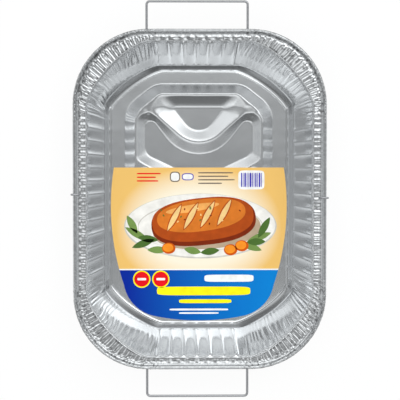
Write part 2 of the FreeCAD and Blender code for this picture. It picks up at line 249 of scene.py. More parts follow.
def line_distance(place: Array, outline: Array) -> Array:
    """How far each place is from a closed line."""
    distance = np.full(place.shape[:-1], np.inf)
    for start, end in zip(outline, np.roll(outline, -1, axis=0)):
        span = end - start
        share = np.clip(((place - start) @ span) / max(span @ span, 1e-9), 0, 1)
        distance = np.minimum(distance, np.linalg.norm(place - start - share[..., None] * span, axis=-1))
    return distance


def is_inside(place: Array, outline: Array) -> Array:
    """Which places lie inside a closed line: a line to their right crosses it an odd number of times."""
    inside = np.zeros(place.shape[:-1], dtype=bool)
    x, y = place[..., 0], place[..., 1]
    for start, end in zip(outline, np.roll(outline, -1, axis=0)):
        if start[1] != end[1]:
            crossing = start[0] + (y - start[1]) * (end[0] - start[0]) / (end[1] - start[1])
            inside ^= ((start[1] > y) != (end[1] > y)) & (x < crossing)
    return inside


@dataclass(frozen=True)
class Outline:
    """A level line of the pan: straight sides with superellipse corners."""

    half_x: float
    half_y: float
    corner_x: float
    corner_y: float
    power: float
    straight_x: float = 48.0
    straight_y: float = 96.5

    # The shares of a quarter that the long side's and the short side's straight stretch take.
    SIDE_SHARE = 0.21
    END_SHARE = 0.12

    def quarter(self) -> tuple[Array, Array]:
        """Points of the first quarter, and the share of the quarter at which each lies.

        The corner is x = half_x - corner_x (1 - cos(a)^(2/n)), y = half_y - corner_y (1 - sin(a)^(2/n)),
        and shares run evenly with its length.
        """
        turn = np.linspace(0, math.pi / 2, 400)
        x = self.half_x - self.corner_x * (1 - np.cos(turn).clip(0) ** (2 / self.power))
        y = self.half_y - self.corner_y * (1 - np.sin(turn).clip(0) ** (2 / self.power))
        x = np.concatenate([[self.half_x], x, [self.straight_x]])
        y = np.concatenate([[self.straight_y], y, [self.half_y]])
        length = np.concatenate([[0], np.cumsum(np.hypot(np.diff(x), np.diff(y)))])
        share = self.SIDE_SHARE + (1 - self.SIDE_SHARE - self.END_SHARE) * length / length[-1]
        x, y = np.concatenate([[self.half_x], x, [0]]), np.concatenate([[0], y, [self.half_y]])
        return np.stack([x, y], axis=1), np.concatenate([[0], share, [1]])

    def ring(self, turn: Array, height: float) -> Array:
        """Points all round at a height, for turns from 0 to 4, a quarter of the pan each."""
        points, share = self.quarter()
        quarter = np.floor(turn).astype(int) % 4
        part = turn - np.floor(turn)
        part = np.where(quarter % 2 == 1, 1 - part, part)
        x = np.interp(part, share, points[:, 0]) * np.where((quarter == 0) | (quarter == 3), 1, -1)
        y = np.interp(part, share, points[:, 1]) * np.where(quarter < 2, 1, -1)
        return np.stack([x, y, np.full(len(turn), height)], axis=1)

    def inset(self, step: float, corner_step: float = 0.0) -> "Outline":
        """The line `step` further in, with its corners shorter by `corner_step`."""
        return replace(self, half_x=self.half_x - step, half_y=self.half_y - step,
                       corner_x=self.corner_x - corner_step, corner_y=self.corner_y - corner_step)


def walked(ring: Array) -> Array:
    """How far along a ring each of its points lies, as one row."""
    return np.concatenate([[0], np.cumsum(np.linalg.norm(np.diff(ring, axis=0), axis=1))])[None, :]


def outward(ring: Array) -> Array:
    """Level unit normals of a counterclockwise ring, pointing outwards."""
    step = np.roll(ring, -1, axis=0) - np.roll(ring, 1, axis=0)
    normals = np.stack([step[:, 1], -step[:, 0], np.zeros(len(ring))], axis=1)
    return normals / np.linalg.norm(normals, axis=1, keepdims=True)


def rounded_rows(rings: list[Array], bends: list[float],
                 counts: list[int]) -> tuple[Array, Array]:
    """Rows of points through a list of rings, with the bends between straight runs rounded.

    A bend is a quadratic curve from `bend` before its ring to `bend` after it.

    Args:
        rings: Rings of points, in order along the profile.
        bends: How far from each ring its round starts, in millimetres. The first and last are 0.
        counts: How many rows each straight run has.

    Returns:
        A (rows, columns, 3) grid, and each row's place counted in rings.
    """
    rows, places = [rings[0]], [0.0]
    for index in range(1, len(rings)):
        before, here = rings[index - 1], rings[index]
        span = float(np.mean(np.linalg.norm(here - before, axis=1)))
        start, end = bends[index - 1] / span, 1 - bends[index] / span
        for share in np.linspace(start, end, counts[index - 1] + 1)[1:]:
            rows.append(before + (here - before) * share)
            places.append(index - 1 + share)
        if bends[index]:
            after = rings[index + 1]
            ahead = bends[index] / float(np.mean(np.linalg.norm(after - here, axis=1)))
            first, last = before + (here - before) * end, here + (after - here) * ahead
            for part in (1 / 3, 2 / 3, 1.0):
                rows.append(first * (1 - part) ** 2 + here * (2 * part * (1 - part)) + last * part ** 2)
                places.append(index - 1 + end + (1 - end + ahead) * part)
    return np.array(rows), np.array(places)


# Foil


@dataclass(frozen=True)
class Folds:
    """Gathers of uneven width round a corner, as a wave whose folds differ in width and height."""

    seed: int
    narrow: float
    wide: float
    length: float = 1400.0

    def wave(self, place: Array) -> Array:
        """The height of the folds between -1 and 1 at places along the foil.

        Each fold is one tooth: it falls evenly from its edge to its middle and rises again.
        """
        maker = np.random.default_rng(self.seed)
        edges = np.cumsum(maker.uniform(self.narrow, self.wide, int(self.length / self.narrow)))
        heights = maker.uniform(0.35, 1.0, len(edges) + 1)
        number = np.searchsorted(edges, place % self.length)
        low = np.where(number > 0, edges[np.maximum(number - 1, 0)], 0.0)
        part = (place % self.length - low) / (edges[np.minimum(number, len(edges) - 1)] - low)
        return (np.abs(2 * part - 1) * 2 - 1) * heights[number]


@dataclass
class FoilPan:
    """The pressed foil: base with its rack, pleated wall, and pleated flange with its rolled edge."""

    # Outlines of the rack, as x, y and radius of their corners: its foot, its crest, and the crest
    # and the floor of each hollow (at the ends, the shields, and in the middle of the sides).
    RACK_FOOT = all_round((92.8, 113.4, 35.0), (55.6, 142.2, 30.0))
    RACK_CREST = all_round((80.2, 104.0, 28.0), (49.0, 130.2, 10.0))
    HOLLOWS = (
        (mirrored((0.0, 59.4, 37.0), (61.5, 112.5, 8.0), (50.5, 128.4, 8.0)),
         mirrored((0.0, 70.2, 21.6), (33.5, 113.5, 2.5))),
        (mirrored((0.0, 1.2, 8.0), (78.6, 48.0, 10.0), (78.6, 122.8, 14.0), (0.0, 56.8, 39.0)),
         mirrored((0.0, 22.2, 10.0), (67.5, 53.7, 14.0), (67.5, 111.6, 7.5), (0.0, 19.8, 50.6))),
        ([(1.5, 0.0, 8.0), (78.6, -46.0, 10.0), (78.6, 46.0, 10.0)],
         [(24.0, 0.0, 6.0), (66.0, -25.0, 6.0), (66.0, 25.0, 6.0)]),
    )

    # Sizes in millimetres, painted shades and shares from 0 to 1.
    foil: float = 0.25
    columns: int = 1200
    base_step: float = 1.25
    rack_height: float = 8.5
    crest_sag: float = 2.4
    sag_width: float = 16.0
    slope_softness: float = 0.05
    # The steepness at which a rack slope gets its full painted shade.
    painted_shade_slope: float = 0.65
    line_rise: float = 0.6
    bevel_low: float = 6.0
    bevel_top: float = 7.6
    shoulder_drop: float = 6.0
    # Strengths of the painted shade on the bevel, the rack's slopes, the bead, the far end and the flange's
    # inner edge.
    bevel_shade: float = 0.95
    rack_shade: float = 0.74
    bead_shade: float = 0.26
    far_shade: float = 0.2
    inner_shades: Pair = (0.25, 0.55)
    # Places of the marks on the rim, counted in its rings.
    inner_line: float = 1.12
    line_width: float = 0.09
    groove_line: float = 2.6
    groove_width: float = 0.35
    arc_foot: float = 1.38
    arc_height: float = 0.42
    # Forms of the folds and of the rolled edge.
    pucker: Pair = (63.0, 104.0)
    pucker_width: float = 10.0
    pucker_depth: float = 0.55
    wall_belly: float = 1.5
    straight: Pair = (44.0, 93.0)
    corner_start: Pair = (12.0, 14.0)
    side_x: float = 134.0
    side_pitch: float = 16.35
    side_start: float = 6.2
    end_pitch: float = 15.9
    end_start: float = -3.6
    chain_pitch: float = 11.0
    scallop_depth: float = 0.95
    end_scallop: float = 2.0
    ridge_depth: float = 1.2
    ridge_unevenness: float = 0.2
    ripple_depth: float = 0.24
    gather_depth: float = 1.15
    coarse_share: float = 0.8
    fine_share: float = 0.6
    flange_depth: float = 0.42
    bar_share: float = 0.62
    crush_share: float = 1.15
    bump_share: float = 0.6
    speckle_share: float = 0.22
    bead: float = 2.5
    bead_dent: float = 0.28
    bead_cells: float = 407.0
    flange_drop: float = 4.4
    groove_drop: float = 4.8
    base_rough: float = 0.1
    base_drawn: float = 0.95

    def __post_init__(self) -> None:
        """Reads the pan's box from the frame and sets its outlines."""
        low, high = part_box("pan")
        (half_x, half_y, self.rim_z), self.low_z = np.array(high) / MM, low[2] / MM
        self.floor_z = self.low_z + self.foil
        self.rim = Outline(half_x, half_y, 91.3, 91.3, 2.0)
        self.mouth = Outline(half_x - 16.4, half_y - 15.3, 74.0, 78.0, 1.4)
        self.foot = Outline(half_x - 34.8, half_y - 39.7, 66.0, 48.0, 1.3, 45.8, 92.2)
        self.floor_edge = Outline(half_x - 41.0, half_y - 45.9, 66.0, 48.0, 1.3, 45.8, 92.2)
        self.turn = np.arange(self.columns) * 4 / self.columns

    def rim_ring(self, inset: float, drop: float) -> Array:
        """A ring `inset` in from the rolled edge and `drop` below its top."""
        return self.rim.inset(inset, inset).ring(self.turn, self.rim_z - drop)

    def gathered(self, ring: Array) -> Array:
        """How far a place is in a corner: 0 in the middle of the straights, 1 in the gathers."""
        past = (np.abs(ring[:, :2]) - self.straight) / self.corner_start
        return soft_ramp(past.min(axis=1), 0.15)

    def on_side(self, ring: Array) -> Array:
        """Which places are on a long side of the pan."""
        return np.abs(ring[:, 0]) > self.side_x

    def wall_folds(self, ring: Array, height_share: Array) -> Array:
        """How far the wall's foil stands out of its smooth form, for each row and column.

        The straights have an inward cusp at each pitch, 1 - |sin(pi p)|, sharpened by its third power.
        The corners have two waves of uneven folds that wander sideways with the height.

        Args:
            ring: The wall's top outline.
            height_share: The rows' heights, 0 at the foot and 1 at the top.

        Returns:
            A (rows, columns) array in millimetres, outwards positive.
        """
        length, rows, on_side = walked(ring), height_share[:, None], self.on_side(ring)
        phase = np.where(on_side, (ring[:, 1] - self.side_start) / self.side_pitch,
                         (ring[:, 0] - self.end_start) / self.end_pitch)
        cusp = 1 - np.abs(np.sin(math.pi * phase))
        uneven = 1 + self.ridge_unevenness * Crumple(5).at(phase + 20, np.zeros_like(phase) + 3)
        scallop = self.scallop_depth * np.where(on_side, 1.0, self.end_scallop)
        ridge = (cusp * scallop + cusp ** 3 * self.ridge_depth) * uneven
        ripple = Crumple(14).at(length / 6, rows * 2.0) * self.ripple_depth
        broad = ripple - ridge[None, :] * (0.65 + 0.35 * rows)
        wander = Crumple(11).at(length / 14, rows * 2.4) * 2.4 + (rows - 0.5) * 1.5
        coarse = Folds(3, 4.0, 8.5).wave(length + wander)
        fine = Folds(8, 2.2, 4.6).wave(length + wander * 1.6)
        patchy = 0.75 + 0.5 * Crumple(17).at(length / 9, rows * 3.1)
        calm = np.clip(0.75 + 0.65 * Crumple(19).at(length / 34 + 3, rows * 0.9 + 2), 0.2, 1.2)
        rise = 0.3 + 0.7 * np.clip(rows * 1.3, 0, 1)
        high = np.clip(rows * 1.4 - 0.15, 0, 1)
        waves = coarse * self.coarse_share + fine * self.fine_share * high
        gathers = waves * patchy * calm * rise * self.gather_depth
        mask = self.gathered(ring)[None, :]
        return (broad * (1 - mask) + gathers * mask) * rising(rows, 0.0, 0.06)

    def flange_folds(self, ring: Array, out_share: Array) -> Array:
        """How far the flange's foil stands up, for each row and column.

        Corners have radial bars that fade into a crushed band before the groove, the long sides have
        creases across, and the short sides a chain of bumps.

        Args:
            ring: The wall's top outline.
            out_share: The rows' places, 0 at the inner edge and 1 at the groove.

        Returns:
            A (rows, columns) array in millimetres, upwards positive.
        """
        length, rows = walked(ring), out_share[:, None]
        mask, on_side = self.gathered(ring)[None, :], self.on_side(ring)[None, :]
        bars = Folds(21, 3.0, 6.0).wave(length + Crumple(25).at(length / 9, rows * 3) * 1.2)
        fine_bars = Folds(24, 1.7, 3.0).wave(length + rows * 1.5) * 0.7
        barred = (bars * 0.7 + fine_bars) * rising(rows, 0.85, 0.5)
        crushed = Crumple(31, *FINE).at(length / 1.3, rows * 8) * rising(rows, 0.5, 0.7)
        corner = barred * self.bar_share + crushed * self.crush_share
        creases = np.clip(Folds(27, 4.0, 9.0).wave(length), -0.2, 1) * np.where(on_side, 1.25, 0.7)
        bumps = np.cos(2 * math.pi * length / self.chain_pitch) * np.sin(math.pi * np.clip(rows, 0, 1))
        speckle = Crumple(33, *FINE).at(length / 1.8, rows * 5)
        straight = creases + bumps * self.bump_share * ~on_side + speckle * self.speckle_share
        return (mask * corner + (1 - mask) * straight) * self.flange_depth

    def rim_painted_shade(self, place: Array) -> Array:
        """Painted shade on the rim: in its pits and crushed folds, on its rolled edge and at the far end.

        A dotted line of painted shade follows the flange's inner edge and another the groove, arcs of
        it join up to a chain on the short sides, and the crushed corners get it from the middle of the
        flange outwards.

        Args:
            place: The rows' places, counted in rings from the wall's top.

        Returns:
            A (rows, columns) array between 0 and 1.
        """
        ring = self.mouth.ring(self.turn, 0)
        length, rows = walked(ring), place[:, None]
        mask, on_side = self.gathered(ring)[None, :], self.on_side(ring)[None, :]
        dots = np.clip(Crumple(61, *FINE).at(length / 1.7, rows * 0) * 2.2 + 0.3, 0, 1)
        steady = np.where(on_side, *self.inner_shades)
        inner = bell(rows, self.inner_line, self.line_width) * (mask * dots * 0.85 + (1 - mask) * steady)
        groove = bell(rows, self.groove_line, self.groove_width) * (0.06 + 0.44 * dots)
        crush = np.clip(Crumple(63, *FINE).at(length / 1.45, rows * 7) * 1.8 - 0.25, 0, 1)
        crush = crush * (mask * rising(rows, 1.35, 1.65) + (1 - mask) * 0.3)
        arc = self.arc_foot + self.arc_height * np.abs(np.cos(math.pi * length / self.chain_pitch))
        arcs = bell(rows, arc, self.line_width) * (1 - mask) * ~on_side * (0.2 + 0.4 * dots)
        # The bead gets an even painted shade, and the flange more painted shade towards the far end.
        bead = rising(rows, 3.0, 3.3) * self.bead_shade * (1.3 - 0.6 * dots)
        far = np.clip(ring[None, :, 1] / ring[:, 1].max(), 0, 1) ** 2 * self.far_shade * (rows > 1)
        return np.clip(inner + groove + crush * (0.45 + 0.4 * mask) + arcs + bead + far, 0, 1)

    def shell(self, name: str, grid: Array, shade: Array) -> Piece:
        """Closes a surface to a thin shell: the grid, its copy moved down by the foil, and both edges.

        Args:
            name: The piece's name.
            grid: The pan's upper surface as rows of rings, from the inside out.
            shade: How much painted shade darkens each point of the grid.

        Returns:
            The piece.
        """
        behind = grid - surface_normals(grid) * self.foil
        rows, columns = grid.shape[:2]
        points = np.concatenate([grid, behind[::-1]]).reshape(-1, 3)
        faces = grid_faces(2 * rows, columns, closed=True)[:, ::-1]
        both_shades = np.concatenate([shade, np.zeros_like(shade)])
        return make_piece(name, points, faces, "pan", True, both_shades)

    def build_wall(self) -> Piece:
        """The wall: a lip on the base's edge, a low ridge, the bevel, and the wall to its top.

        The bevel gets painted shade where it rises along the pan, most where it faces the ends.
        """
        floor = self.floor_z + 0.03
        # Each ring's outline and height: the lip with its low ridge, the bevel, and the wall's top.
        profile = [(self.floor_edge.inset(step, step), floor + rise)
                   for step, rise in ((3.0, 0.0), (2.0, 0.0), (0.2, self.line_rise), (-1.4, 0.15))]
        profile += [(self.foot.inset(0.9), self.low_z + self.bevel_low),
                    (self.foot, self.low_z + self.bevel_top), (self.mouth, self.rim_z - self.shoulder_drop)]
        rings = [outline.ring(self.turn, height) for outline, height in profile]
        grid, place = rounded_rows(rings, [0, 0.25, 0.35, 0.3, 0.35, 0.4, 0], [1, 1, 1, 2, 1, 19])
        share = rising(place, 5.0, 6.0)
        facing = outward(rings[-1])
        belly = (share * (1 - share))[:, None] * np.abs(facing[None, :, 1]) * self.wall_belly
        folds = self.wall_folds(rings[-1], share) + belly
        grid = grid + facing[None, :, :] * folds[:, :, None]
        self.shoulder_row = grid[-1]
        # Painted shade on the bevel, strongest where it faces the ends.
        in_bevel = rising(place, 2.9, 3.1) * rising(place, 4.75, 4.55)
        shade = in_bevel[:, None] * np.abs(facing[None, :, 1]) ** 0.6 * self.bevel_shade
        return self.shell("pan_wall", grid, shade)

    def build_rim(self) -> Piece:
        """The shoulder, the flange, the groove and the rolled edge that turns under."""
        rings = [self.shoulder_row, self.mouth.inset(-1.0).ring(self.turn, self.rim_z - self.flange_drop),
                 self.rim_ring(9.4, self.flange_drop), self.rim_ring(6.1, self.groove_drop)]
        grid, place = rounded_rows(rings, [0, 0.4, 1.2, 0], [2, 12, 2])
        share = rising(place, 1.0, 2.8)
        fade = rising(place, 0.5, 1.0) * rising(place, 3.0, 2.5)
        top = self.mouth.ring(self.turn, 0)
        grid[:, :, 2] += self.flange_folds(top, share) * fade[:, None]
        angles = np.radians(np.linspace(160, -120, 15))[:, None]
        dents = Crumple(41, *FINE).at(self.turn[None, :] * self.bead_cells, angles * 2.6) - 1
        radius = self.bead + dents * self.bead_dent * (0.3 + 0.7 * self.gathered(top))
        middle = self.rim_ring(self.bead, self.bead)
        bead = middle + outward(middle) * (radius * np.cos(angles))[:, :, None]
        bead[:, :, 2] += radius * np.sin(angles)
        place = np.concatenate([place, 3.0 + np.arange(len(angles)) * 0.3])
        return self.shell("pan_rim", np.concatenate([grid, bead]), self.rim_painted_shade(place))

    def rack_lift(self, x: Array, y: Array) -> Array:
        """The rack's height above the base.

        On a slope it follows the share of the way from the foot's line to the crest's line, with both
        ends rounded. The crests inside sag a little below the outer one.

        Args:
            x: Places across the pan.
            y: Places along it.

        Returns:
            An array of the same shape.
        """
        place = np.stack([np.abs(x), np.abs(y)], axis=-1)
        outer_foot, outer_crest = rounded_outline(self.RACK_FOOT), rounded_outline(self.RACK_CREST)
        to_foot, to_crest = line_distance(place, outer_foot), line_distance(place, outer_crest)
        on_top = is_inside(place, outer_crest)
        share = np.where(on_top, 1.0, to_foot / (to_foot + to_crest))
        share = np.where(is_inside(place, outer_foot), share, 0.0)
        sink = np.where(on_top, soft_ramp(to_crest / self.sag_width - 0.15, 0.25), 0.0)
        height = self.rack_height - self.crest_sag * sink
        for crest, floor in self.HOLLOWS:
            crest_line, floor_line = rounded_outline(crest), rounded_outline(floor)
            to_floor, to_edge = line_distance(place, floor_line), line_distance(place, crest_line)
            inner = np.where(is_inside(place, floor_line), 0.0, to_floor / (to_floor + to_edge))
            share = np.where(is_inside(place, crest_line), inner, share)
        return soft_ramp(share, self.slope_softness) * height

    def build_base(self) -> Piece:
        """The base with its rack, as a field of heights over a grid cut off at the base's edge.

        Slopes that rise along the pan get painted shade, more so towards the far end. The rack's corners
        are puckered.
        """
        edge = self.floor_edge
        half_x, half_y = edge.half_x, edge.half_y
        columns, rows = int(2 * half_x / self.base_step), int(2 * half_y / self.base_step)
        x, y = np.meshgrid(np.linspace(-half_x, half_x, columns), np.linspace(-half_y, half_y, rows))

        def noise(seed: int, size: float) -> Array:
            """Noise over the base whose cells have this size."""
            return Crumple(seed).at(x / size + 30, y / size + 30)

        lift = self.rack_lift(x, y)
        wave = noise(51, 21) * 0.10 + noise(52, 7) * 0.018
        away = (np.abs(x) - self.pucker[0]) ** 2 + (np.abs(y) - self.pucker[1]) ** 2
        near = np.exp(-away / self.pucker_width ** 2)
        lift = lift + near * (noise(55, 4.5) - 0.6) * self.pucker_depth * (lift > 0.5)
        past_x = np.clip((np.abs(x) - half_x + edge.corner_x) / edge.corner_x, 0, None)
        past_y = np.clip((np.abs(y) - half_y + edge.corner_y) / edge.corner_y, 0, None)
        inside = past_x ** edge.power + past_y ** edge.power < 0.985
        height = self.floor_z + lift + wave * (lift < self.rack_height - 0.6) - 0.05
        # Painted shade on slopes that rise along the pan, stronger towards the far end.
        steepness = np.abs(np.gradient(lift, 2 * half_y / (rows - 1), axis=0))
        shade = rising(steepness, 0.0, self.painted_shade_slope) * self.rack_shade * (0.65 + 0.35 * y / half_y)
        return self.plate("pan_base", np.stack([x, y, height], axis=-1), inside, shade)

    def plate(self, name: str, top: Array, inside: Array, shade: Array) -> Piece:
        """Closes the part of a level grid inside an edge to a thin plate.

        The border is made of the edges that only one face has.

        Args:
            name: The piece's name.
            top: The upper surface, as a (rows, columns, 3) array.
            inside: Which of its points are kept.
            shade: How much painted shade darkens each point.

        Returns:
            The piece.
        """
        below = top - np.array([0, 0, self.foil])
        count = inside.size
        faces = grid_faces(*inside.shape, closed=False)
        faces = faces[inside.ravel()[faces].all(axis=1)]
        edges = np.concatenate([faces[:, [k, (k + 1) % 4]] for k in range(4)])
        key = edges.min(axis=1) * count + edges.max(axis=1)
        _, place, times = np.unique(key, return_index=True, return_counts=True)
        border = edges[place[times == 1]]
        sides = np.stack([border[:, 1], border[:, 0], border[:, 0] + count, border[:, 1] + count], axis=1)
        faces = np.concatenate([faces, faces[:, ::-1] + count, sides])
        used, faces = np.unique(faces, return_inverse=True)
        points = np.concatenate([top.reshape(-1, 3), below.reshape(-1, 3)])[used]
        shade = np.concatenate([shade.ravel(), np.zeros(count)])[used]
        return make_piece(name, points, faces.reshape(-1, 4), "pan", True, shade)

    def build(self, finish: "FoilFinish") -> list[Piece]:
        """Builds the three stretches of the foil and gives them their finish."""
        pieces = [self.build_base(), self.build_wall(), self.build_rim()]
        satin = finish.material("satin_foil", self.base_rough, self.base_drawn)
        bright = finish.material("bright_foil", 0.0, 0.0)
        for piece, material in zip(pieces, (satin, bright, bright)):
            piece.data.materials.append(material)
        return pieces


# Wires


@dataclass
class Wires:
    """The loop with the two grips and the side wire with its hooks: the CAD wires, dressed."""

    nodes: tuple[str, ...] = ("handle_loop", "side_wire")

    def dress(self, finish: "WireFinish") -> list[Piece]:
        """Gives both wires their finish."""
        material = finish.material()
        wires = [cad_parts[name] for name in self.nodes]
        for wire in wires:
            for slot in wire.material_slots:
                slot.material = material
            wire.data.polygons.foreach_set("use_smooth", np.ones(len(wire.data.polygons), dtype=bool))
        return wires


# Card and its print


class Ink(Enum):
    """The colours of the print, as they render."""

    CREAM = (0.95, 0.91, 0.82)
    TAN = (0.915, 0.735, 0.42)
    WHITE = (0.95, 0.95, 0.94)
    PLATE = (0.93, 0.92, 0.895)
    PLATE_EDGE = (0.80, 0.785, 0.75)
    SHADE = (0.70, 0.62, 0.52)
    CRUST_DARK = (0.47, 0.17, 0.06)
    CRUST = (0.67, 0.29, 0.10)
    CRUST_LIGHT = (0.83, 0.46, 0.17)
    GLAZE = (0.93, 0.66, 0.36)
    CUT = (0.93, 0.78, 0.52)
    LEAF = (0.30, 0.42, 0.20)
    LEAF_LIGHT = (0.45, 0.56, 0.30)
    ORANGE_DARK = (0.80, 0.34, 0.06)
    ORANGE = (0.96, 0.56, 0.16)
    BLUE_DARK = (0.0, 0.17, 0.58)
    BLUE_LIGHT = (0.0, 0.49, 0.80)
    YELLOW = (0.99, 0.93, 0.10)
    RED = (0.89, 0.09, 0.13)
    GREY = (0.42, 0.38, 0.34)
    VIOLET = (0.29, 0.26, 0.68)


Print = tuple[str, Array, Ink, int]


def arc_through(start: Pair, middle: Pair, end: Pair, steps: int = 24) -> Array:
    """Points of the circle's arc through three points.

    The centre is where both chords' middle lines cross, found as a 2 by 2 set of equations.
    """
    a, b, c = np.array(start), np.array(middle), np.array(end)
    centre = np.linalg.solve(2 * np.array([b - a, c - a]), np.array([b @ b - a @ a, c @ c - a @ a]))
    angles = [math.atan2(*(point - centre)[::-1]) for point in (a, b, c)]
    first = (angles[1] - angles[0] + math.pi) % (2 * math.pi) - math.pi
    second = (angles[2] - angles[1] + math.pi) % (2 * math.pi) - math.pi
    swing = angles[0] + (first + second) * np.linspace(0, 1, steps + 1)
    return centre + np.linalg.norm(a - centre) * np.stack([np.cos(swing), np.sin(swing)], axis=1)


def turned(x: Array, y: Array, centre: Pair, tilt: float) -> Array:
    """Points turned by `tilt` degrees and moved to a centre."""
    angle = math.radians(tilt)
    return np.stack([centre[0] + x * math.cos(angle) - y * math.sin(angle),
                     centre[1] + x * math.sin(angle) + y * math.cos(angle)], axis=1)


def oval(centre: Pair, half: Pair, tilt: float = 0.0, power: float = 2.0, points: int = 72) -> Array:
    """A superellipse: half-widths times cos and sin to the power 2/n, turned by `tilt` degrees."""
    turn = np.linspace(0, 2 * math.pi, points, endpoint=False)
    x, y = (width * np.sign(wave) * np.abs(wave) ** (2 / power)
            for width, wave in zip(half, (np.cos(turn), np.sin(turn))))
    return turned(x, y, centre, tilt)


def leaf(centre: Pair, length: float, width: float, tilt: float) -> Array:
    """A leaf: two bows that meet in points, half the width times sin(pi p) to the power 0.8."""
    part = np.linspace(0, 1, 14)
    bow = width / 2 * np.sin(math.pi * part) ** 0.8
    x = np.concatenate([length * (0.5 - part), length * (part - 0.5)[1:-1]])
    return turned(x, np.concatenate([bow, -bow[1:-1]]), centre, tilt)


def bar(centre: Pair, size: Pair) -> Array:
    """A bar with round ends."""
    return oval(centre, (size[0] / 2, size[1] / 2), power=6.0, points=32)


def slab(outline: Array, low: float, high: float) -> tuple[Array, Array]:
    """A flat slab between two heights, as fans from its middle and a strip round its edge.

    Args:
        outline: Its points, counterclockwise, seen from the middle.
        low: The height of its underside.
        high: The height of its face.

    Returns:
        Its points and its three-cornered faces.
    """
    count = len(outline)
    flat = np.vstack([outline, outline.mean(axis=0)])
    points = np.vstack([np.column_stack([flat, np.full(count + 1, height)]) for height in (high, low)])
    here = np.arange(count)
    after, middle = (here + 1) % count, np.full(count, count)
    here_below, after_below, middle_below = (row + count + 1 for row in (here, after, middle))
    faces = ((here, after, middle), (after_below, here_below, middle_below),
             (here, here_below, after_below), (here, after_below, after))
    return points, np.vstack([np.stack(face, axis=1) for face in faces])


